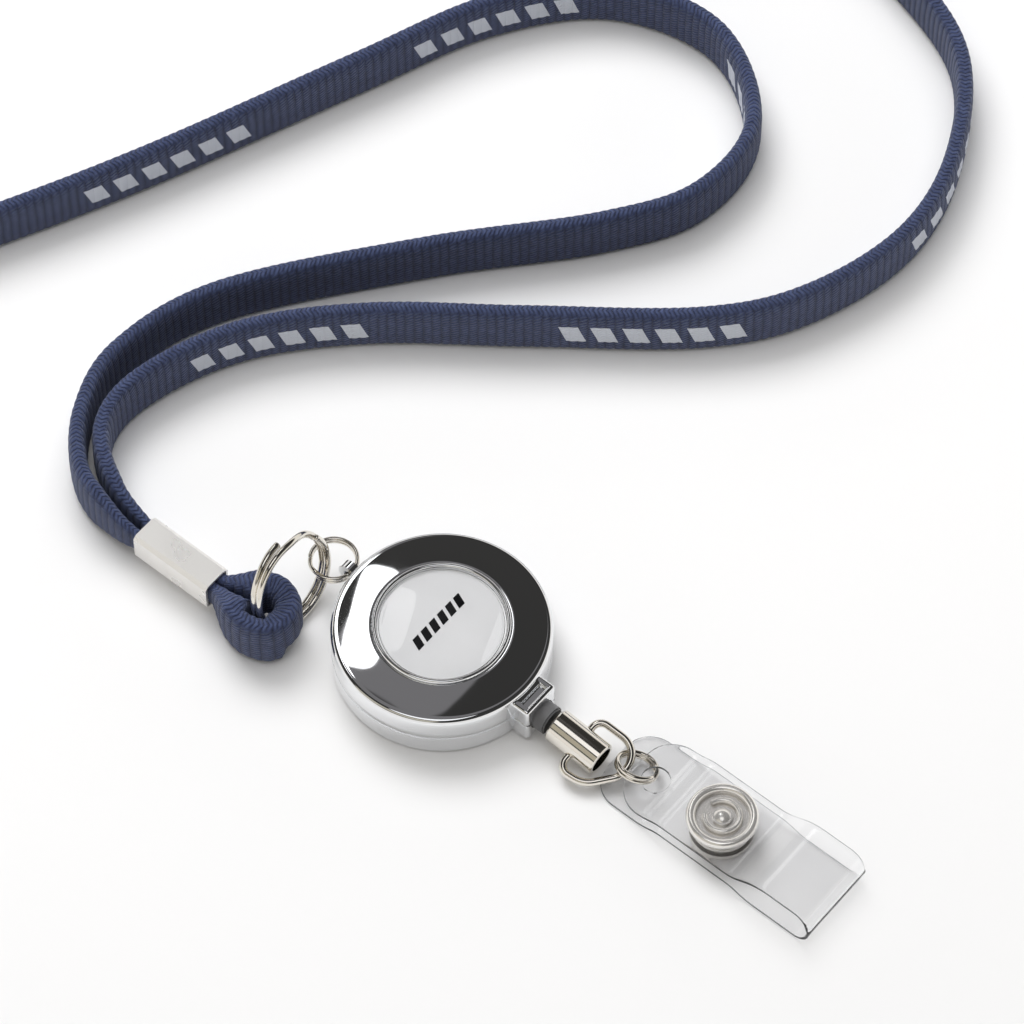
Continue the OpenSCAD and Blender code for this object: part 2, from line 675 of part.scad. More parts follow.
back_cover();
front_cover();
label_bezel();
label_disc();
label_dome();
centre_post();
spool_washer();
power_spring();
spool();
spring_cover();
cord_winding();
cord_lead();
outlet_bush();
ring_lug();
bumper();
cord_knot();
barrel();
d_ring();
strap_ring();
strap_upper();
snap_cap();
snap_spring();
snap_socket();
strap_lower();
snap_stud();
snap_back();
lug_ring();
key_ring();
lanyard_loop();
crimp();
lanyard_ribbon();
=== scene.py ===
# %% [markdown]
# # A badge reel on a knitted neck lanyard
# The reel, its rings and its strap come from a CAD model, which is loaded first and never moved. Everything
# that is made here goes round it, in metres: knitted ribbon, split rings, clear strap, finishes and lights.

# %% Load the CAD frame
import json
import math

import bmesh
import bpy
import numpy as np
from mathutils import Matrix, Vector


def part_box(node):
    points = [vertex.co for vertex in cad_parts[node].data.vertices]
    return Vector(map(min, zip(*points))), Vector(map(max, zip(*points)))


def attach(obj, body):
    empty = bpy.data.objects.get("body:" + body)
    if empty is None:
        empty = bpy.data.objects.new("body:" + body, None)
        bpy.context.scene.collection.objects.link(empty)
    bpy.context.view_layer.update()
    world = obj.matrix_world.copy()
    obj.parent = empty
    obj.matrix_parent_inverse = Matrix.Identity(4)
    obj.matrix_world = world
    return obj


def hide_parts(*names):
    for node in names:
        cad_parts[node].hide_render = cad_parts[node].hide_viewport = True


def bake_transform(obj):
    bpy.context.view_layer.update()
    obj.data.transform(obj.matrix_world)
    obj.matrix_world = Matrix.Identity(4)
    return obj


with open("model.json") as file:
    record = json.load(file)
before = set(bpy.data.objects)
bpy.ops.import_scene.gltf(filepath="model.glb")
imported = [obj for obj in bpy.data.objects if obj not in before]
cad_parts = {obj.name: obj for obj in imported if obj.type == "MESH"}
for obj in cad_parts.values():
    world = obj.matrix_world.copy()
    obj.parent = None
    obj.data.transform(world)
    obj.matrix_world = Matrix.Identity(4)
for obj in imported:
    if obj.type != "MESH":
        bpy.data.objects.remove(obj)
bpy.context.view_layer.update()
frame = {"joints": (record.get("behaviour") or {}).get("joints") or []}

MM = 0.001

# %% [markdown]
# ## Camera
# A long lens from well above the table gives the flat, quiet perspective of a catalogue picture. The camera is
# set by the place that it looks at, by its angles round that place and by its distance.

# %% Make the camera
camera_azimuth = math.radians(39.5)
camera_elevation = math.radians(58.2)
camera_distance = 0.8615
look_at = Vector((-0.008, 0.026, 0))
towards_camera = Vector((math.sin(camera_azimuth) * math.cos(camera_elevation),
                         -math.cos(camera_azimuth) * math.cos(camera_elevation),
                         math.sin(camera_elevation)))
camera = bpy.data.objects.new("camera", bpy.data.cameras.new("camera"))
camera.data.lens = 200.4
camera.data.sensor_width = 36
camera.data.clip_start = 0.05
camera.location = look_at + towards_camera * camera_distance
camera.rotation_mode = "QUATERNION"
camera.rotation_quaternion = (-towards_camera).to_track_quat("-Z", "Y")
bpy.context.collection.objects.link(camera)
bpy.context.scene.camera = camera
print("camera at", [round(v, 4) for v in camera.location])

# %% [markdown]
# ## Lines and skins
# Most pieces here are a section that follows a line: ribbon, wire and strap. So two helpers do most of the
# work. One draws a smooth line through a few chosen points, and one lays a skin over a row of closed rings.
# Two more change a finished skin: one applies a modifier, and one cuts a tool out of it.

# %% Smooth lines
def smooth_line(corners, steps):
    """A Catmull-Rom line through the corners, with that many steps between each two."""
    p = [np.array(c, float) for c in corners]
    p = [p[0], *p, p[-1]]
    line = []
    for a, b, c, d in zip(p, p[1:], p[2:], p[3:]):
        for t in np.arange(steps) / steps:
            line.append(0.5 * (2 * b + (c - a) * t + (2 * a - 5 * b + 4 * c - d) * t * t
                               + (3 * b - a - 3 * c + d) * t ** 3))
    return np.array([*line, p[-1]])


def even(line, spacing):
    """The same line with its points evenly spaced, and the distance along it to each."""
    reach = np.concatenate([[0], np.cumsum(np.linalg.norm(np.diff(line, axis=0), axis=1))])
    at = np.linspace(0, reach[-1], max(int(round(reach[-1] / spacing)), 2) + 1)
    return np.stack([np.interp(at, reach, line[:, k]) for k in range(line.shape[1])], 1), at


def headings(line, closed=False):
    """The unit direction of the line at each of its points."""
    if closed:
        steps = np.roll(line, -1, 0) - np.roll(line, 1, 0)
    else:
        steps = np.gradient(line, axis=0)
    return steps / np.linalg.norm(steps, axis=1)[:, None]


def smooth_step(x):
    """0 below 0, 1 above 1, and a soft ramp between."""
    x = np.clip(x, 0, 1)
    return x * x * (3 - 2 * x)


# %% Skins over rings
def piece_from(name, points, faces, body):
    """A smooth-shaded piece that rides on a body, with every face turned outwards."""
    mesh = bpy.data.meshes.new(name)
    mesh.from_pydata([tuple(p) for p in points], [], faces)
    shaped = bmesh.new()
    shaped.from_mesh(mesh)
    bmesh.ops.recalc_face_normals(shaped, faces=shaped.faces)
    shaped.to_mesh(mesh)
    shaped.free()
    mesh.polygons.foreach_set("use_smooth", [True] * len(mesh.polygons))
    piece = bpy.data.objects.new(name, mesh)
    bpy.context.collection.objects.link(piece)
    if body:
        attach(piece, body)
    print(f"{name}: {len(mesh.vertices)} points, {len(mesh.polygons)} faces")
    return piece


def skin(name, rings, body, closed=False):
    """A skin over closed rings of equal count. A closed skin joins its last ring to its first."""
    n, m = len(rings), len(rings[0])
    faces = [(m * i + k, m * i + (k + 1) % m, m * ((i + 1) % n) + (k + 1) % m, m * ((i + 1) % n) + k)
             for i in range(n if closed else n - 1) for k in range(m)]
    if not closed:
        faces += [tuple(range(m)), tuple(range(m * (n - 1), m * n))]
    return piece_from(name, [p for ring in rings for p in ring], faces, body)


# %% Changes to a finished skin
def modified(piece, kind, **settings):
    """Puts one modifier on a piece and makes it part of the mesh."""
    change = piece.modifiers.new(kind.lower(), kind)
    for setting, value in settings.items():
        setattr(change, setting, value)
    bpy.context.view_layer.objects.active = piece
    bpy.ops.object.modifier_apply(modifier=change.name)


def cut_away(piece, tool):
    """Cuts a tool out of a piece and throws the tool away."""
    modified(piece, "BOOLEAN", operation="DIFFERENCE", solver="EXACT", object=tool)
    bpy.data.objects.remove(tool)


# %% [markdown]
# ## The lanyard ribbon
# A neck lanyard of this kind is a flat tube of knitting, 9.5 mm wide, that is folded double into a crimp. Here
# it stands on its edge and wanders over the table. It could be a flat strip with a picture of knitting on it,
# but its edges would be dead straight, and knitting never is. So the ribs are real: the skin has four rings to
# each rib and swells between the grooves. The finer stitches are left to the finish.
#
# The route is the CAD model's own, from the middle of the crimp's back end. The stretch that the camera doesn't
# see is laid close beside the picture, on the same table.

# %% Route of the ribbon, from the crimp and back to it
RIBBON_ROUTE = [
    (0.0015, -0.00102), (-0.005, -0.0011), (-0.014, 0.0015), (-0.021, 0.0095), (-0.024, 0.0215),
    (-0.019, 0.0395), (0, 0.0655), (0.018, 0.0865), (0.026, 0.101), (0.024, 0.1165), (0.009, 0.1265),
    (-0.009, 0.1225), (-0.022, 0.1075), (-0.031, 0.0855), (-0.044, 0.0525), (-0.055, 0.0285),
    (-0.063, 0.0145), (-0.078, 0.0085), (-0.097, 0.0225), (-0.107, 0.0485), (-0.097, 0.0805),
    (-0.071, 0.0935), (-0.052, 0.1065), (-0.042, 0.1295), (-0.027, 0.1535), (-0.004, 0.1605),
    (0.022, 0.1555), (0.041, 0.1475), (0.052, 0.1315), (0.0555, 0.1145), (0.051, 0.0965),
    (0.041, 0.0825), (0.02, 0.0655), (0.001, 0.0505), (-0.012, 0.0355), (-0.018, 0.0195),
    (-0.0165, 0.009), (-0.008, 0.0027), (0.0015, 0.00102)]

crimp_low, crimp_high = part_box("crimp")
crimp_middle = (crimp_low + crimp_high) / 2
crimp_back = Vector((crimp_low.x, crimp_middle.y, crimp_middle.z))
rib_pitch = 1.4 * MM
ribbon_line, ribbon_reach = even(smooth_line(RIBBON_ROUTE, 24), rib_pitch / 4)
ribbon_line = ribbon_line + np.array(crimp_back.xy)
print("ribbon length, mm:", round(ribbon_reach[-1] / MM, 1))

# %% Knitted section
ribbon_width = 9.5 * MM
ribbon_thickness = 2.8 * MM
squeezed_width = 4.3 * MM      # what the crimp leaves of each strand
squeezed_thickness = 1.8 * MM
rib_height = 0.17 * MM
section_points = 36


def knit_section(points):
    """Points spread evenly round a flat tube, as shares of its half sizes, and the distance round to each."""
    turn = np.linspace(0, 2 * np.pi, 721) - np.pi / 2
    bulge = 2 / 3.6
    outline = np.stack([np.sign(np.cos(turn)) * np.abs(np.cos(turn)) ** bulge,
                        np.sign(np.sin(turn)) * np.abs(np.sin(turn)) ** bulge], 1)
    real = outline * np.array([ribbon_thickness, ribbon_width]) / 2
    spread, round_to = even(real, np.linalg.norm(np.diff(real, axis=0), axis=1).sum() / points)
    return (spread / np.array([ribbon_thickness, ribbon_width]) * 2)[:-1], round_to[:-1]


def knitted(name, line, reach, squeeze, body, floor_of=None, inner_half=None):
    """A ribbon on edge along a flat line. Squeeze is 0 where the crimp grips it and 1 where it is free."""
    section, round_to = knit_section(section_points)
    ahead = headings(line)
    aside = np.stack([-ahead[:, 1], ahead[:, 0]], 1)
    rows, marks = [], []
    for place, across, far, free in zip(line, aside, reach, squeeze):
        thick = squeezed_thickness + (ribbon_thickness - squeezed_thickness) * free
        wide = squeezed_width + (ribbon_width - squeezed_width) * free
        rib = abs(math.sin(math.pi * far / rib_pitch)) - 1
        swell = 1 + rib * rib_height / thick
        out = section[:, 0] * thick / 2 * swell
        if inner_half is not None:
            out = np.where(out > 0, section[:, 0] * inner_half(place) * swell, out)
        up = section[:, 1] * wide / 2 * (1 + rib * rib_height / wide)
        if floor_of is not None:
            lift = floor_of(place)
            up = up + np.clip(lift - (crimp_back.z + up), 0, None)
        rows.append([(place[0] + across[0] * o, place[1] + across[1] * o, crimp_back.z + u)
                     for o, u in zip(out, up)])
        marks += [(far / MM, r / MM, s) for r, s in zip(round_to, section[:, 0])]
    piece = skin(name, rows, body)
    knit = piece.data.attributes.new("knit", "FLOAT_VECTOR", "POINT")
    knit.data.foreach_set("vector", np.array(marks, float).ravel())
    return piece


# %% Knit the ribbon
taper = 9 * MM
gripped = 2 * MM
from_end = np.minimum(ribbon_reach, ribbon_reach[-1] - ribbon_reach)
ribbon = knitted("knitted_ribbon", ribbon_line, ribbon_reach, np.clip((from_end - gripped) / taper, 0, 1),
                 "lanyard")
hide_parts("lanyard_ribbon")

# %% [markdown]
# ## The fabric loop
# The same ribbon makes the short loop that holds the large ring. It leaves the crimp narrow and opens to its
# full width round the ring, and where the ring passes under it, its lower edge is pushed up.

# %% Knit the loop
ring_low, ring_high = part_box("key_ring")
key_wire = 0.55 * MM
key_middle = (ring_low + ring_high) / 2
key_radius = (ring_high.y - ring_low.y) / 2 - key_wire
loop_x = key_middle.x - 0.3 * MM
loop_y = key_middle.y - key_radius + 1.7 * MM
loop_radius = 4.3 * MM
crimp_front = crimp_high.x
strand_off = 1.02 * MM


def loop_corner(x, y):
    """A place beside the loop's own middle, given in its radii."""
    return (loop_x + x * loop_radius, loop_y + y * loop_radius)


loop_corners = [
    (crimp_front - 2 * MM, crimp_middle.y - strand_off), (crimp_front + 1 * MM, crimp_middle.y - 1.17 * MM),
    (loop_x - 5 * MM, loop_y - 3.2 * MM), (loop_x - 2.6 * MM, loop_y - 4.1 * MM), loop_corner(0, -1),
    loop_corner(0.72, -0.7), loop_corner(1, 0), loop_corner(0.72, 0.7), loop_corner(0, 1),
    (loop_x - 3 * MM, loop_y + 3.4 * MM), (loop_x - 5.6 * MM, loop_y + 1.6 * MM),
    (crimp_front + 1 * MM, crimp_middle.y + 1.32 * MM), (crimp_front - 2 * MM, crimp_middle.y + strand_off)]
loop_line, loop_reach = even(smooth_line(loop_corners, 16), rib_pitch / 5)
loop_lift = 3.5 * MM


def lifted(place):
    """The lowest height of the loop at a place: the ring passes under its far side."""
    beside = smooth_step((place[1] - loop_y + 1.8 * MM) / (0.9 * MM))
    clear_of_crimp = smooth_step((place[0] - loop_x + 4.3 * MM) / (0.9 * MM))
    return loop_lift * beside * clear_of_crimp


def half_inwards(place):
    """How far the loop is padded inwards: round a small eye, and until both strands meet behind it."""
    behind = smooth_step((loop_x - 1.5 * MM - place[0]) / (1.8 * MM))
    towards_eye = np.clip((place[0] - crimp_front) / (loop_x - crimp_front), 0, 1)
    middle = crimp_middle.y + (loop_y - crimp_middle.y) * towards_eye
    far_side = smooth_step((place[0] - loop_x + place[1] - loop_y + 1 * MM) / (3 * MM))
    return (1 - behind) * (2.0 + 1.0 * far_side) * MM + behind * abs(place[1] - middle) * 1.04


loop_free = np.clip((loop_line[:, 0] - crimp_front - 0.5 * MM) / (4.5 * MM), 0, 0.94)
loop = knitted("knitted_loop", loop_line, loop_reach, loop_free, "lanyard", lifted, half_inwards)
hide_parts("lanyard_loop")

# %% [markdown]
# ## Split rings
# A split ring is one wire wound nearly twice round. Each turn lies on one side, and the wire steps across
# between them over a short stretch, with its two ends beside that step. A plain torus would miss the step, the
# seam between the turns and the round ends, which are what make it read as a key ring.

# %% Wire and split rings
def wire(name, line, radius, body, closed=False, sides=18):
    """A round wire along a line, with domed ends if it is open."""
    ahead = headings(line, closed)
    first = np.cross(ahead[0], np.array([0.3, 0.2, 1.0]))
    across = [first / np.linalg.norm(first)]
    for way in ahead[1:]:
        side = across[-1] - way * (across[-1] @ way)
        across.append(side / np.linalg.norm(side))
    if closed:
        back = across[-1] - ahead[0] * (across[-1] @ ahead[0])
        twist = math.atan2(np.cross(back, across[0]) @ ahead[0], back @ across[0])
    turn = np.arange(sides) * 2 * np.pi / sides
    rings = []
    for i, (p, a, s) in enumerate(zip(line, ahead, across)):
        extra = twist * i / len(line) if closed else 0
        up = np.cross(a, s)
        rings.append([p + radius * (math.cos(t + extra) * s + math.sin(t + extra) * up) for t in turn])
    if not closed:
        rings = dome(rings, line[0], -ahead[0], radius)[::-1] + rings + dome(rings[::-1], line[-1],
                                                                           ahead[-1], radius)
    return skin(name, rings, body, closed)


def dome(rings, end, outward, radius):
    """Rings that close a wire's end with a low dome, from the wire outwards."""
    flat = 0.5
    return [[end + (p - end) * math.cos(lean) + outward * radius * flat * math.sin(lean) for p in rings[0]]
            for lean in (0.45, 0.9, 1.25, 1.5)]


def split_ring(name, node, axis, radius, wire_radius, coil, start, body, flare=0.0):
    """A split ring in place of a CAD ring. Start turns it, and flare bends its first end outwards."""
    low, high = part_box(node)
    middle = np.array((low + high) / 2)
    axis = np.array(Vector(axis).normalized())
    one = np.cross(axis, np.array([0.0, 1.0, 0.0]) if abs(axis[1]) < 0.9 else np.array([1.0, 0.0, 0.0]))
    one /= np.linalg.norm(one)
    two = np.cross(axis, one)
    first_end, last_end = 28, 694               # degrees along the wire, a little under two turns
    angle = np.radians(np.arange(first_end, last_end, 5))
    step = smooth_step((np.degrees(angle) - 335) / 50)
    off = coil * (2 * step - 1) - flare * smooth_step((80 - np.degrees(angle)) / 52)
    turn = angle + math.radians(start)
    line = (middle + radius * (np.cos(turn)[:, None] * one + np.sin(turn)[:, None] * two)
            + off[:, None] * axis)
    piece = wire(name, line, wire_radius, body)
    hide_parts(node)
    return piece


# %% Three split rings
key_lean = math.radians(14)
split_ring("large_split_ring", "key_ring", (math.cos(key_lean), 0, math.sin(key_lean)), key_radius,
           key_wire, 0.53 * MM, -31, "key_ring", 0.35 * MM)
lug_wire = 0.36 * MM
lug_low, lug_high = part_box("lug_ring")
split_ring("small_split_ring", "lug_ring", (0, 0, 1), (lug_high.x - lug_low.x) / 2 - lug_wire,
           lug_wire, 0.3 * MM, 60, "lug_ring")
strap_wire = 0.36 * MM
strap_low, strap_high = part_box("strap_ring")
strap_lean = math.radians(28)
split_ring("strap_split_ring", "strap_ring", (0, math.sin(strap_lean), math.cos(strap_lean)),
           (strap_high.x - strap_low.x) / 2 - strap_wire, strap_wire, 0.33 * MM, 200, "strap_ring")

# %% [markdown]
# ## The D ring
# The D ring is a thick wire bent round five corners, and its straight side is the bar through the barrel. Its
# plane follows from two joints of the frame: one lies along the bar, and one is where the strap's ring hangs.

# %% Bent corners
def rounded(corners, bends, steps, closed=True):
    """An outline with each corner rounded by its own radius. The ends of an open one stay sharp."""
    p = [np.array(c, float) for c in corners]
    line = []
    for i, (here, bend) in enumerate(zip(p, bends)):
        if not closed and i in (0, len(p) - 1):
            line.append(here)
            continue
        before = here - p[i - 1]
        after = p[(i + 1) % len(p)] - here
        before, after = before / np.linalg.norm(before), after / np.linalg.norm(after)
        whole = math.atan2(before[0] * after[1] - before[1] * after[0], before @ after)
        left = math.copysign(1, whole)
        inwards = np.array([-before[1], before[0]])
        centre = here - before * bend * math.tan(abs(whole) / 2) + left * bend * inwards
        first = math.atan2(before[1], before[0]) - left * math.pi / 2
        line += [centre + bend * np.array([math.cos(first + whole * k / steps),
                                           math.sin(first + whole * k / steps)]) for k in range(steps + 1)]
    return np.array(line)


# %% Bend the D ring
joints = {joint["name"]: joint for joint in frame["joints"]}
bar_place = np.array(joints["d_ring_swing"]["pos_m"])
bar_way = np.array(joints["d_ring_swing"]["axis"])
hang_place = np.array(joints["strap_ring_swing"]["pos_m"])
reach_way = hang_place - bar_place
reach_way = reach_way - bar_way * (reach_way @ bar_way)
ring_reach = np.linalg.norm(reach_way)
reach_way = reach_way / ring_reach
d_corners = [(0, -5 * MM), (4.4 * MM, -4.5 * MM), (ring_reach, -0.3 * MM), (ring_reach, 4.9 * MM),
             (0, 4.6 * MM)]
d_wire = 0.6 * MM
d_flat = rounded(d_corners, [1.6 * MM, 4.2 * MM, 2.4 * MM, 3.4 * MM, 1.6 * MM], 14)
d_flat, _ = even(np.vstack([d_flat, d_flat[:1]]), 0.25 * MM)
d_line = bar_place + d_flat[:-1, :1] * reach_way + d_flat[:-1, 1:] * bar_way
d_ring = wire("bent_d_ring", d_line, d_wire, "d_ring", closed=True, sides=24)
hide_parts("d_ring")

# %% [markdown]
# ## The pull cord
# At rest the cord hides inside the outlet and the bumper. When the reel is pulled it runs out in a straight
# line, so this short piece is a straight cord from inside the outlet to near the end of the bumper.

# %% Stretch of cord that pulls out
bush_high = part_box("outlet_bush")[1]
bumper_low, bumper_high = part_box("bumper")
cord_radius = 0.4 * MM
cord_height = (bumper_low.z + bumper_high.z) / 2
cord_start = bush_high.x - 1.2 * MM
cord_end = bumper_high.x - 0.4 * MM
cord_places = np.linspace(cord_start, cord_end, 161)
cord_turn = np.arange(12) * np.pi / 6
cord_rings = [[(x, cord_radius * math.cos(t), cord_height + cord_radius * math.sin(t)) for t in cord_turn]
              for x in cord_places]
pull_cord = skin("pull_cord", cord_rings, None)
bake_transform(pull_cord)

# %% [markdown]
# ## The clear strap
# The strap is one length of clear vinyl, folded back on itself and snapped shut. It is built as one sheet, so
# the fold is a true bend, and the corner of the fold is set at the joint where it opens. Its section has round
# edges, and the edge faces get a darker finish of their own: painted shade, standing in for the darkness that
# clear vinyl shows where one looks into its edge.

# %% Line and width of the strap
strap_y = 3 * MM
strap_half = 6.8 * MM
sheet_half = 0.25 * MM
upper_low, upper_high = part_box("strap_upper")
lower_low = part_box("strap_lower")[0]
fold = np.array(joints["strap_open"]["pos_m"])
snap_low, snap_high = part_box("snap_cap")
snap_x = (snap_low.x + snap_high.x) / 2
seat = (snap_high.x - snap_low.x) / 2 + 0.25 * MM
loop_top = upper_high.z - sheet_half
upper_corners = [(upper_low.x, 2.8 * MM), (snap_x - seat - 4 * MM, 2.8 * MM),
                 (snap_x - seat - 1.2 * MM, 3.85 * MM), (snap_x + seat + 1.2 * MM, 3.85 * MM),
                 (snap_x + seat + 6 * MM, loop_top), (fold[0] - 1 * MM, loop_top)]
lower_corners = [(fold[0] - 0.6 * MM, sheet_half), (snap_x + seat + 4 * MM, sheet_half),
                 (snap_x + seat + 1.2 * MM, 1.25 * MM), (snap_x - seat - 1.2 * MM, 1.25 * MM),
                 (snap_x - seat - 4 * MM, sheet_half), (lower_low.x, sheet_half)]
strap_corners = [*upper_corners, (fold[0], fold[2]), *lower_corners]
strap_bends = [0, 8, 5, 5, 8, 2.3, 0.8, 2.3, 8, 5, 5, 8, 0]
strap_line = rounded(strap_corners, [b * MM for b in strap_bends], 14, closed=False)
strap_line, strap_reach = even(strap_line, 0.3 * MM)


def half_width(from_end, corner):
    """Half the strap's width near an end whose corners are rounded."""
    if from_end >= corner:
        return strap_half
    return strap_half - corner + math.sqrt(max(corner ** 2 - (corner - from_end) ** 2, 0))


# %% Build the strap with its hole
def strap_ring_of(place, ahead, half):
    """One ring of the strap: its two faces with the round edges between them."""
    normal = np.array([-ahead[1], ahead[0]])
    side_steps = np.linspace(-1, 1, 27)
    edge = np.radians(np.linspace(90, -90, 6))[1:-1]
    outline = [(s * (half - sheet_half), sheet_half) for s in side_steps]
    outline += [(half - sheet_half + sheet_half * math.cos(a), sheet_half * math.sin(a)) for a in edge]
    outline += [(s * (half - sheet_half), -sheet_half) for s in side_steps[::-1]]
    outline += [(-half + sheet_half - sheet_half * math.cos(a), -sheet_half * math.sin(a)) for a in edge]
    return [(place[0] + normal[0] * h, strap_y + across, place[1] + normal[1] * h) for across, h in outline]


strap_ahead = headings(strap_line)
strap_ends = [(r, strap_reach[-1] - r) for r in strap_reach]
strap_rings = [strap_ring_of(p, a, min(half_width(near, 5 * MM), half_width(far, 4.5 * MM)))
               for p, a, (near, far) in zip(strap_line, strap_ahead, strap_ends)]
strap = skin("clear_strap", strap_rings, None)

hole_x = upper_low.x + 3.7 * MM
hole_y = 2.4 * MM
hole_z = 3.4 * MM
bpy.ops.mesh.primitive_cylinder_add(vertices=64, radius=2.2 * MM, depth=4 * MM,
                                    location=(hole_x, hole_y, hole_z))
cut_away(strap, bpy.context.object)
print("strap with its hole:", len(strap.data.polygons), "faces")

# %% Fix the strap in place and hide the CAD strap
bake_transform(strap)
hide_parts("strap_upper", "strap_lower")

# %% [markdown]
# ## The front cover
# The CAD cover's face is a plain cone, and a cone reflects in straight-sided wedges. A pressed and plated cover
# is slightly crowned: its slope grows from the label outwards, as on a large ball. So the cover is turned again
# from its own outline, with a soft shoulder and a small groove where it meets the back cover. The outlet is a
# block with soft edges, bored for the bumper and with a narrow slot along its top.

# %% Turned pieces and bored blocks
def turned(name, outline, body, steps=192):
    """A ring with that outline, given as radius and height in mm, turned round the z axis."""
    turn = np.arange(steps) * 2 * np.pi / steps
    rings = [[(r * MM * math.cos(t), r * MM * math.sin(t), z * MM) for r, z in outline] for t in turn]
    return skin(name, rings, body, closed=True)


def block(name, low, high):
    """A plain box between two corners, given in mm."""
    bpy.ops.mesh.primitive_cube_add(size=1, location=[(a + b) / 2 * MM for a, b in zip(low, high)])
    made = bpy.context.object
    made.name = name
    made.scale = [(b - a) * MM for a, b in zip(low, high)]
    bpy.ops.object.transform_apply(location=True, rotation=False, scale=True)
    return made


# %% Turn the cover and add its outlet
cover_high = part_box("front_cover")[1]
outlet_end = cover_high.x / MM
ball = 86.0                                     # the radius of the crown, in mm
face_in, face_out, face_top = 10.45, 15.7, 9.4
seam = 3.84                                     # the height where the two covers meet
shoulder = [(15.6 + 0.9 * math.cos(a), 7.72 + 0.9 * math.sin(a)) for a in np.radians(np.linspace(79, 0, 9))]
crown = [(r, face_top - (r * r - face_in ** 2) / (2 * ball)) for r in np.linspace(face_in, face_out, 15)]
cover_outline = [(9.0, 7.9), (9.0, 8.66), (10.33, 8.66), (10.35, 9.33), *crown, *shoulder,
                 (16.5, 6.5), (16.5, 5.2), (16.5, 4.1), (16.44, 4.02), (16.15, 3.98), (16.15, seam),
                 (15.5, seam), (15.5, 7.8)]
cover = turned("crowned_cover", cover_outline, "case")
outlet = block("outlet", (15.4, -3.3, seam), (outlet_end, 3.3, 7.7))
modified(outlet, "BEVEL", width=0.55 * MM, segments=5, limit_method="ANGLE", angle_limit=math.radians(40))
bpy.ops.mesh.primitive_cylinder_add(vertices=96, radius=2.45 * MM, depth=4 * MM, rotation=(0, math.pi / 2, 0),
                                    location=((outlet_end + 0.5) * MM, 0, 3.8 * MM))
cut_away(outlet, bpy.context.object)
slot = block("slot", (16.9, -2.3, 6.9), (18.3, 2.3, 9))
modified(slot, "BEVEL", width=0.3 * MM, segments=3, limit_method="ANGLE", angle_limit=math.radians(40))
cut_away(outlet, slot)
outlet.data.polygons.foreach_set("use_smooth", [True] * len(outlet.data.polygons))
modified(outlet, "WEIGHTED_NORMAL", keep_sharp=False, weight=80)
outlet.name = "outlet_block"
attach(outlet, "case")
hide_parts("front_cover")

# %% Turn the clear dome
dome_low, dome_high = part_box("label_dome")
dome_r = dome_high.x / MM
dome_rise = (dome_high.z - dome_low.z) / MM
dome_ball = (dome_r ** 2 + dome_rise ** 2) / (2 * dome_rise)
dome_arc = [(r, dome_high.z / MM - dome_ball + math.sqrt(dome_ball ** 2 - r * r))
            for r in np.linspace(0, dome_r - 0.25, 24)]
dome_foot = dome_low.z / MM + 0.02
dome_edge = [(dome_r - 0.12, dome_foot + 0.03), (dome_r - 0.12, dome_foot), (dome_r - 0.3, dome_foot),
             (0, dome_foot)]
clear_dome = turned("clear_dome", [*dome_arc, *dome_edge], "case", 128)
modified(clear_dome, "WELD", merge_threshold=0.001 * MM)
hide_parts("label_dome")

# %% [markdown]
# ## Mark on the label
# The label carries a plain printed mark of six slanting bars, thin and flat on the disc. They lie under the
# clear resin, so they are real thin shapes that the resin magnifies a little.

# %% Six bars on the label
label_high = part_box("label_disc")[1]
bar_count = 6
bar_long = 1.25 * MM
bar_high = 1.9 * MM
bar_gap = 0.6 * MM
bar_slant = 0.75 * MM
mark_z = label_high.z + 0.01 * MM
mark_t = 0.02 * MM
mark_x = -0.6 * MM
mark_points, mark_faces = [], []
for i in range(bar_count):
    y = -5.6 * MM + i * (bar_long + bar_gap)
    foot = [(mark_x + bar_high / 2, y), (mark_x + bar_high / 2, y + bar_long),
            (mark_x - bar_high / 2, y + bar_long + bar_slant), (mark_x - bar_high / 2, y + bar_slant)]
    mark_points += [(px, py, z) for z in (mark_z, mark_z + mark_t) for px, py in foot]
    b = 8 * i
    mark_faces += [(b, b + 1, b + 2, b + 3), (b + 7, b + 6, b + 5, b + 4)]
    mark_faces += [(b + k, b + (k + 1) % 4, b + 4 + (k + 1) % 4, b + 4 + k) for k in range(4)]
label_mark = piece_from("label_mark", mark_points, mark_faces, "case")
label_mark.data.polygons.foreach_set("use_smooth", [False] * len(label_mark.data.polygons))

# %% [markdown]
# ## Finishes: how they are made
# Each finish is one Principled shader. What is even over the whole surface is set on the shader itself, and
# what varies, such as wear, weave or grain, comes from noise and simple sums. One helper makes the shader, one
# varies a value with noise, and one raises a fine grain.

# %% Shader helpers
def finish(name, colour, roughness, **more):
    """A material with one Principled shader, whose other inputs are set by name."""
    made = bpy.data.materials.new(name)
    made.use_nodes = True
    shader = made.node_tree.nodes["Principled BSDF"]
    shader.inputs["Base Color"].default_value = (*colour, 1)
    shader.inputs["Roughness"].default_value = roughness
    for socket, value in more.items():
        shader.inputs[socket.replace("_", " ")].default_value = value
    return made


def shader_of(made):
    """The one Principled shader of a material."""
    return made.node_tree.nodes["Principled BSDF"]


def noise(made, scale, detail=3.0, stretch=(1, 1, 1)):
    """Noise in the object's own space. Scale is in bumps per metre."""
    nodes, links = made.node_tree.nodes, made.node_tree.links
    place = nodes.new("ShaderNodeTexCoord")
    sized = nodes.new("ShaderNodeMapping")
    sized.inputs["Scale"].default_value = stretch
    grains = nodes.new("ShaderNodeTexNoise")
    grains.inputs["Scale"].default_value = scale
    grains.inputs["Detail"].default_value = detail
    links.new(place.outputs["Object"], sized.inputs["Vector"])
    links.new(sized.outputs["Vector"], grains.inputs["Vector"])
    return grains.outputs["Fac"]


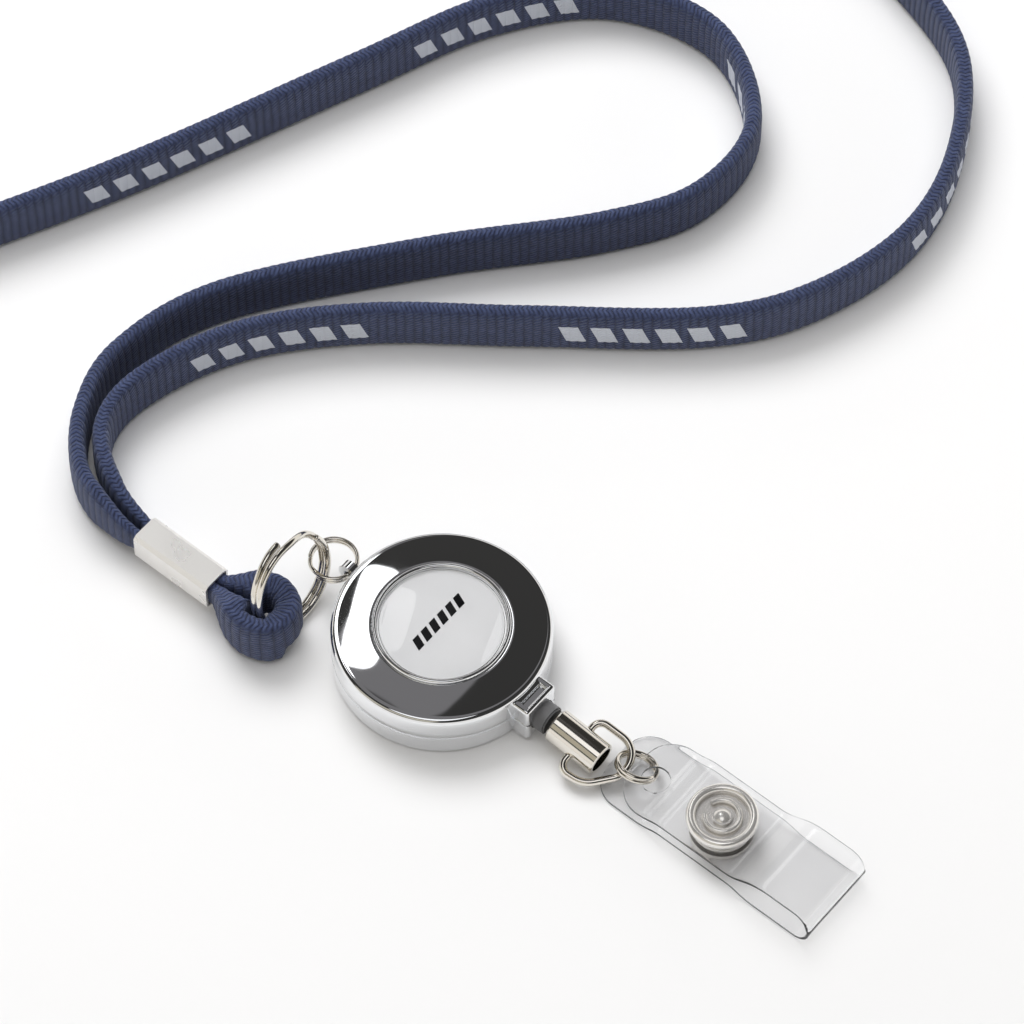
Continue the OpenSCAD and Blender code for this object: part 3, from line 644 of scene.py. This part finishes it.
def spread(made, value, socket, low, high):
    """Maps a value's middle range to low and high, and feeds a socket of the shader."""
    nodes, links = made.node_tree.nodes, made.node_tree.links
    ranged = nodes.new("ShaderNodeMapRange")
    ranged.inputs["From Min"].default_value = 0.3
    ranged.inputs["From Max"].default_value = 0.7
    ranged.inputs["To Min"].default_value = low
    ranged.inputs["To Max"].default_value = high
    links.new(value, ranged.inputs["Value"])
    links.new(ranged.outputs["Result"], shader_of(made).inputs[socket])


def two_tone(made, value, dark, light, low=0.3, high=0.7):
    """Colours the surface from dark to light as the value goes from low to high."""
    nodes, links = made.node_tree.nodes, made.node_tree.links
    ramp = nodes.new("ShaderNodeValToRGB")
    ramp.color_ramp.elements[0].position = low
    ramp.color_ramp.elements[0].color = (*dark, 1)
    ramp.color_ramp.elements[1].position = high
    ramp.color_ramp.elements[1].color = (*light, 1)
    links.new(value, ramp.inputs["Fac"])
    links.new(ramp.outputs["Color"], shader_of(made).inputs["Base Color"])
    return ramp


def raise_grain(made, height, depth):
    """Raises the surface by a height, whose full range is that deep in metres."""
    nodes, links = made.node_tree.nodes, made.node_tree.links
    bump = nodes.new("ShaderNodeBump")
    bump.inputs["Distance"].default_value = depth
    bump.inputs["Strength"].default_value = 1.0
    links.new(height, bump.inputs["Height"])
    links.new(bump.outputs["Normal"], shader_of(made).inputs["Normal"])


def sums(made):
    """A short way to write sums with nodes: work(kind, a, b) takes sockets or numbers and gives a socket."""
    nodes, links = made.node_tree.nodes, made.node_tree.links

    def work(kind, *terms):
        node = nodes.new("ShaderNodeMath")
        node.operation = kind
        for i, term in enumerate(terms):
            if isinstance(term, (int, float)):
                node.inputs[i].default_value = term
            else:
                links.new(term, node.inputs[i])
        return node.outputs[0]
    return work


# %% [markdown]
# ## Plated metals
# The case is chromed, which is cool and nearly a perfect mirror. The rings, barrel and crimp are nickel plated,
# which is warmer and a little softer. No plating is perfectly even, so the polish varies slowly and there is
# a very shallow waviness, which is what breaks up a reflection.

# %% Chrome, nickel and steel
def plated(name, colour, polish, dull, wave, metal=1.0):
    """A plated metal whose polish varies between two values of roughness."""
    made = finish(name, colour, polish, Metallic=metal)
    spread(made, noise(made, 180), "Roughness", polish, dull)
    raise_grain(made, noise(made, 90, 2.0), wave)
    return made


chrome = plated("chrome_plate", (0.86, 0.87, 0.885), 0.02, 0.05, 0.03 * MM)
nickel = plated("nickel_plate", (0.80, 0.765, 0.70), 0.07, 0.14, 0.012 * MM)
snap_metal = plated("snap_plate", (0.91, 0.89, 0.86), 0.15, 0.26, 0.02 * MM, 0.76)
crimp_metal = plated("crimp_plate", (0.91, 0.895, 0.87), 0.25, 0.36, 0.02 * MM, 0.7)
steel = plated("turned_steel", (0.55, 0.55, 0.56), 0.25, 0.4, 0.02 * MM)
spring_steel = plated("blued_spring", (0.30, 0.34, 0.42), 0.2, 0.35, 0.01 * MM)
print("plated finishes:", [m.name for m in (chrome, nickel, snap_metal, crimp_metal, steel, spring_steel)])

# %% [markdown]
# ## Plastics and rubber
# The bumper is soft moulded rubber with a fine matt grain. The inner parts are moulded nylon, the label is
# printed card, and the resin over it is clear and thick enough to bend the light.

# %% Rubber, nylon, label and resin
rubber = finish("soft_rubber", (0.045, 0.048, 0.053), 0.5)
spread(rubber, noise(rubber, 900), "Roughness", 0.42, 0.6)
two_tone(rubber, noise(rubber, 260), (0.10, 0.10, 0.103), (0.15, 0.15, 0.153))
raise_grain(rubber, noise(rubber, 5200, 2.0), 0.03 * MM)


def moulded(name, dark, light):
    """A moulded plastic with a slight unevenness of tone and a fine grain."""
    made = finish(name, light, 0.4)
    two_tone(made, noise(made, 140), dark, light)
    spread(made, noise(made, 700), "Roughness", 0.32, 0.48)
    raise_grain(made, noise(made, 4000, 2.0), 0.01 * MM)
    return made


nylon = moulded("moulded_nylon", (0.62, 0.61, 0.55), (0.74, 0.73, 0.67))
black_plastic = moulded("black_plastic", (0.016, 0.016, 0.017), (0.026, 0.026, 0.028))
label_card = moulded("label_card", (0.84, 0.845, 0.86), (0.88, 0.885, 0.90))
label_ink = moulded("label_ink", (0.004, 0.004, 0.005), (0.008, 0.008, 0.009))
shader_of(label_ink).inputs["Specular IOR Level"].default_value = 0.1


# %% [markdown]
# ## Clear pieces
# Resin and vinyl are real glass-like solids. Lamps can't shine through such a shader without slow and noisy
# caustics, so for the rays that go to a lamp the surface is swapped for a plain see-through one. That keeps
# the shadows of clear things as faint as they really are.

# %% Clear resin and clear vinyl
def see_through(name, colour, shade, roughness, ior):
    """A clear solid. Shade is how much light gets past it to what lies behind."""
    made = finish(name, colour, roughness, Transmission_Weight=1.0, IOR=ior)
    nodes, links = made.node_tree.nodes, made.node_tree.links
    ray = nodes.new("ShaderNodeLightPath")
    open_shade = nodes.new("ShaderNodeBsdfTransparent")
    open_shade.inputs["Color"].default_value = (*shade, 1)
    mixed = nodes.new("ShaderNodeMixShader")
    links.new(ray.outputs["Is Shadow Ray"], mixed.inputs["Fac"])
    links.new(shader_of(made).outputs["BSDF"], mixed.inputs[1])
    links.new(open_shade.outputs["BSDF"], mixed.inputs[2])
    links.new(mixed.outputs["Shader"], nodes["Material Output"].inputs["Surface"])
    return made


resin = see_through("clear_resin", (1, 1, 1), (0.97, 0.97, 0.97), 0.0, 1.5)
raise_grain(resin, noise(resin, 60, 1.0), 0.01 * MM)
vinyl = see_through("clear_vinyl", (0.99, 0.991, 0.995), (0.995, 0.995, 0.995), 0.05, 1.36)
raise_grain(vinyl, noise(vinyl, 140, 2.0), 0.03 * MM)
# The edge faces get a dark grey clear finish: painted shade for the darkness that clear vinyl shows where one
# looks into its edge.
vinyl_edge_shade = see_through("vinyl_edge_shade", (0.2, 0.215, 0.24), (0.6, 0.6, 0.62), 0.12, 1.42)
raise_grain(vinyl_edge_shade, noise(vinyl_edge_shade, 900, 2.0), 0.02 * MM)
print("clear finishes made")

# %% [markdown]
# ## Knitting
# Seen close, the ribbon is rows of fat stitches that run across it, each row a little offset from the next, and
# slanting like a braid round its narrow edges. The mesh carries its own map for this: how far along the ribbon
# a point is, how far round it, and which face it is on. The stitches are made from that map, so they follow
# the ribbon round every bend. The print is a patch of white bars on one face, let into the same map.

# %% Knitted finish
def knitting(name, printed):
    """Navy knitting with rows of stitches, fibres, uneven dye, painted shade in the grooves between stitches
    and, if wanted, a printed mark.
    """
    made = finish(name, (0.03, 0.045, 0.12), 0.85, Sheen_Weight=0.22, Sheen_Roughness=0.5)
    shader_of(made).inputs["Sheen Tint"].default_value = (0.7, 0.76, 0.95, 1)
    nodes, links = made.node_tree.nodes, made.node_tree.links
    work = sums(made)
    stitch_pitch, plait_pitch = 0.62, 0.72      # mm
    knit = nodes.new("ShaderNodeAttribute")
    knit.attribute_name = "knit"
    parts = nodes.new("ShaderNodeSeparateXYZ")
    links.new(knit.outputs["Vector"], parts.inputs["Vector"])
    along, round_to, face = parts.outputs
    edge = work("MULTIPLY", work("SUBTRACT", 0.8, work("ABSOLUTE", face)), 3.0)
    edge = work("MINIMUM", work("MAXIMUM", edge, 0.0), 1.0)
    wander = noise(made, 420, 2.0)
    row = work("ADD", work("DIVIDE", along, rib_pitch / MM), work("MULTIPLY", wander, 0.22))
    row_number = work("FLOOR", row)
    rib = work("ABSOLUTE", work("SINE", work("MULTIPLY", row, math.pi)))
    strand = noise(made, 1500, 2.0)
    stitch_place = work("ADD", work("DIVIDE", round_to, stitch_pitch), work("MULTIPLY", row_number, 0.5))
    slanted = work("ADD", work("ADD", stitch_place, work("MULTIPLY", row, 0.9)), work("MULTIPLY", strand, 0.7))
    stitch = work("ABSOLUTE", work("SINE", work("MULTIPLY", slanted, math.pi)))
    lump = work("MULTIPLY", work("POWER", rib, 0.5), work("ADD", work("MULTIPLY", work("POWER", stitch, 0.7),
                                                                      0.7), 0.3))
    plait = work("ADD", work("DIVIDE", along, plait_pitch), work("MULTIPLY", work("ABSOLUTE", face), 1.1))
    plait = work("ADD", plait, work("MULTIPLY", strand, 0.5))
    plait = work("POWER", work("ABSOLUTE", work("SINE", work("MULTIPLY", plait, math.pi))), 0.7)
    lump = work("ADD", work("MULTIPLY", lump, work("SUBTRACT", 1.0, edge)), work("MULTIPLY", plait, edge))
    fibres = noise(made, 5200, 3.0)
    height = work("ADD", lump, work("MULTIPLY", fibres, 0.5))
    raise_grain(made, height, 0.2 * MM)
    dye = noise(made, 1100, 4.0)
    # The colour follows the stitch height as well as the dye: the crests are painted lighter and the grooves
    # between stitches and rows darker, a painted shade.
    tone = work("ADD", work("MULTIPLY", lump, 0.5), work("MULTIPLY", dye, 0.62))
    ramp = two_tone(made, tone, (0.008, 0.010, 0.024), (0.064, 0.085, 0.178), 0.2, 0.95)
    middle = ramp.color_ramp.elements.new(0.58)
    middle.color = (0.026, 0.036, 0.088, 1)
    if printed:
        print_mark(made, work, along, round_to, face, ramp)
    return made


def print_mark(made, work, along, round_to, face, ramp):
    """White slanting bars on one face, in a patch that comes again along the ribbon."""
    nodes, links = made.node_tree.nodes, made.node_tree.links
    patch_every, patch_long, patch_from = 58.0, 29.0, 20.0
    bar_every, bar_share = 4.9, 0.62
    up = work("SUBTRACT", round_to, face_middle)
    slid = work("ADD", along, work("MULTIPLY", up, -0.35))
    in_patch = work("MULTIPLY", work("FRACT", work("DIVIDE", work("SUBTRACT", slid, patch_from), patch_every)),
                    patch_every)
    inside = work("MULTIPLY", work("LESS_THAN", in_patch, patch_long), work("GREATER_THAN", face, 0.5))
    on_bar = work("LESS_THAN", work("FRACT", work("DIVIDE", in_patch, bar_every)), bar_share)
    in_height = work("LESS_THAN", work("ABSOLUTE", up), 1.9)
    share = work("MULTIPLY", work("MULTIPLY", inside, on_bar), in_height)
    mix = nodes.new("ShaderNodeMix")
    mix.data_type = "RGBA"
    mix.inputs["B"].default_value = (0.62, 0.65, 0.72, 1)
    links.new(share, mix.inputs["Factor"])
    links.new(ramp.outputs["Color"], mix.inputs["A"])
    links.new(mix.outputs["Result"], shader_of(made).inputs["Base Color"])


# A quarter of the way round the section from its lower edge.
face_middle = knit_section(section_points)[1][section_points // 4] / MM
navy_knit = knitting("navy_knit", True)
loop_knit = knitting("navy_loop_knit", False)

# %% Braided cord
braid = finish("braided_cord", (0.012, 0.012, 0.013), 0.7, Sheen_Weight=0.3)
braid_height_and_shade = noise(braid, 2600, 1.0, (0.3, 1, 1))
# The strands are painted lighter where the bump raises them and darker in the hollows between them: a painted
# shade.
two_tone(braid, braid_height_and_shade, (0.006, 0.006, 0.007), (0.03, 0.03, 0.033))
raise_grain(braid, braid_height_and_shade, 0.08 * MM)

# %% [markdown]
# ## Which piece has which finish
# The CAD pieces whose shape is right stay as they are and only change their finish. One table says what each
# piece is made of.

# %% Dress every piece
FINISHES = {
    chrome: ["back_cover", "crowned_cover", "outlet_block", "label_bezel", "ring_lug"],
    label_card: ["label_disc"], label_ink: ["label_mark"], resin: ["clear_dome"],
    steel: ["centre_post"], spring_steel: ["power_spring"],
    nylon: ["spool_washer", "spring_cover", "outlet_bush"], black_plastic: ["spool"],
    braid: ["cord_winding", "cord_lead", "cord_knot", "pull_cord"], rubber: ["bumper"],
    nickel: ["barrel", "bent_d_ring", "large_split_ring", "small_split_ring", "strap_split_ring"],
    crimp_metal: ["crimp"],
    snap_metal: ["snap_cap", "snap_spring", "snap_socket", "snap_stud", "snap_back"],
    navy_knit: ["knitted_ribbon"], loop_knit: ["knitted_loop"], vinyl: ["clear_strap"],
}
for made, names in FINISHES.items():
    for name in names:
        mesh = bpy.data.objects[name].data
        mesh.materials.clear()
        mesh.materials.append(made)

for name in ("crimp", "ring_lug"):
    modified(bpy.data.objects[name], "BEVEL", width=0.22 * MM, segments=3, limit_method="ANGLE",
             angle_limit=math.radians(35), harden_normals=True)

# The strap's edge faces take the darker vinyl finish, which paints shade on them.
strap.data.materials.append(vinyl_edge_shade)
small_face = 0.4 * MM * MM
edge_faces = 0
for polygon in strap.data.polygons:
    upright = abs(polygon.normal.y) > 0.6
    at_end = min(abs(polygon.center.x - upper_low.x), abs(polygon.center.x - lower_low.x)) < 0.02 * MM
    before_fold = polygon.center.x < fold[0] - 4 * MM
    in_hole = polygon.area < small_face and abs(polygon.normal.z) < 0.3 and before_fold
    if upright or at_end or in_hole:
        polygon.material_index = 1
        edge_faces += 1
print("strap faces that are edges:", edge_faces)

# %% [markdown]
# ## Table, sky and lamps
# The table is plain white. What polished metal looks like is what it reflects, so the surroundings matter as
# much as the lamps: bright near the horizon, which gives the case its white side, and dark overhead, which
# makes its face nearly black. Four soft-edged cards are painted on that sky. The crowned face mirrors a small
# round part of it, so the bright window becomes the white patch on the face and the grey disc the paler one,
# and the two cards nearer to the camera give the barrel its bright and beige bands.

# %% Table
bpy.ops.mesh.primitive_plane_add(size=6, location=(0, 0, -0.05 * MM))
table = bpy.context.object
table.name = "table"
paper = finish("white_paper", (0.86, 0.86, 0.865), 0.75)
spread(paper, noise(paper, 30), "Roughness", 0.7, 0.8)
table.data.materials.append(paper)
print("table:", table.name, "with", paper.name)

# %% Surroundings
sky = bpy.data.worlds.new("studio")
bpy.context.scene.world = sky
sky.use_nodes = True
sky_nodes, sky_links = sky.node_tree.nodes, sky.node_tree.links
sky_sum = sums(sky)
direction = sky_nodes.new("ShaderNodeTexCoord")
sky_parts = sky_nodes.new("ShaderNodeSeparateXYZ")
sky_links.new(direction.outputs["Generated"], sky_parts.inputs["Vector"])
sky_x, sky_y, sky_z = sky_parts.outputs
bands = sky_nodes.new("ShaderNodeValToRGB")
SKY_BANDS = [(0.0, 1.0), (0.36, 1.0), (0.44, 0.045), (1.0, 0.038)]
while len(bands.color_ramp.elements) < len(SKY_BANDS):
    bands.color_ramp.elements.new(0.5)
for element, (place, light) in zip(bands.color_ramp.elements, SKY_BANDS):
    element.position = place
    element.color = (light, light * 0.975, light * 0.945, 1)
sky_links.new(sky_z, bands.inputs["Fac"])


def card(under, middle, half, turn, soft, colour):
    """Paints a soft-edged card over a sky. Middle and half are x and y of directions, turn is in degrees."""
    c, s = math.cos(math.radians(turn)), math.sin(math.radians(turn))
    dx = sky_sum("SUBTRACT", sky_x, middle[0])
    dy = sky_sum("SUBTRACT", sky_y, middle[1])
    one = sky_sum("ADD", sky_sum("MULTIPLY", dx, c / half[0]), sky_sum("MULTIPLY", dy, s / half[0]))
    two = sky_sum("ADD", sky_sum("MULTIPLY", dx, -s / half[1]), sky_sum("MULTIPLY", dy, c / half[1]))
    off = sky_sum("ADD", sky_sum("POWER", sky_sum("ABSOLUTE", one), 4),
                  sky_sum("POWER", sky_sum("ABSOLUTE", two), 4))
    share = sky_nodes.new("ShaderNodeMapRange")
    for socket, value in (("From Min", 1 - soft), ("From Max", 1 + soft), ("To Min", 1.0), ("To Max", 0.0)):
        share.inputs[socket].default_value = value
    sky_links.new(off, share.inputs["Value"])
    over = sky_sum("MULTIPLY", share.outputs["Result"], sky_sum("GREATER_THAN", sky_z, 0.0))
    mix = sky_nodes.new("ShaderNodeMix")
    mix.data_type = "RGBA"
    sky_links.new(over, mix.inputs["Factor"])
    sky_links.new(under, mix.inputs["A"])
    mix.inputs["B"].default_value = (*colour, 1)
    return mix.outputs["Result"]


painted = card(bands.outputs["Color"], (-0.335, 0.275), (0.225, 0.225), 0, 0.1, (0.19, 0.185, 0.19))
painted = card(painted, (-0.512, 0.262), (0.064, 0.178), 22, 0.1, (2.6, 2.6, 2.6))
painted = card(painted, (0.06, -0.18), (0.27, 0.22), 0, 0.15, (1.25, 1.25, 1.27))
painted = card(painted, (-0.05, -0.67), (0.5, 0.17), 0, 0.15, (0.52, 0.49, 0.41))
sky_links.new(painted, sky_nodes["Background"].inputs["Color"])
sky_nodes["Background"].inputs["Strength"].default_value = 1.0
print("sky bands:", len(SKY_BANDS), "and four cards")


# %% Lamps
def lamp(name, way, distance, size, power):
    """A square soft lamp that faces the reel from a direction.

    Metal shows the painted sky and not the lamp. Clear pieces don't either, because their shadows already let
    its light past, and it would count twice.
    """
    data = bpy.data.lights.new(name, "AREA")
    data.size = size
    data.energy = power
    made = bpy.data.objects.new(name, data)
    made.location = Vector(way).normalized() * distance
    made.rotation_mode = "QUATERNION"
    made.rotation_quaternion = Vector(way).to_track_quat("Z", "Y")
    made.visible_glossy = False
    made.visible_transmission = False
    bpy.context.collection.objects.link(made)
    print(f"{name}: {power} W, {size} m wide")


lamp("key_lamp", (-0.545, 0.294, 0.785), 0.9, 0.5, 4.3)
lamp("top_lamp", (-0.25, 0.25, 1.0), 1.1, 1.3, 10.0)
bpy.context.scene.view_settings.view_transform = "Standard"
bpy.context.scene.view_settings.exposure = -0.12
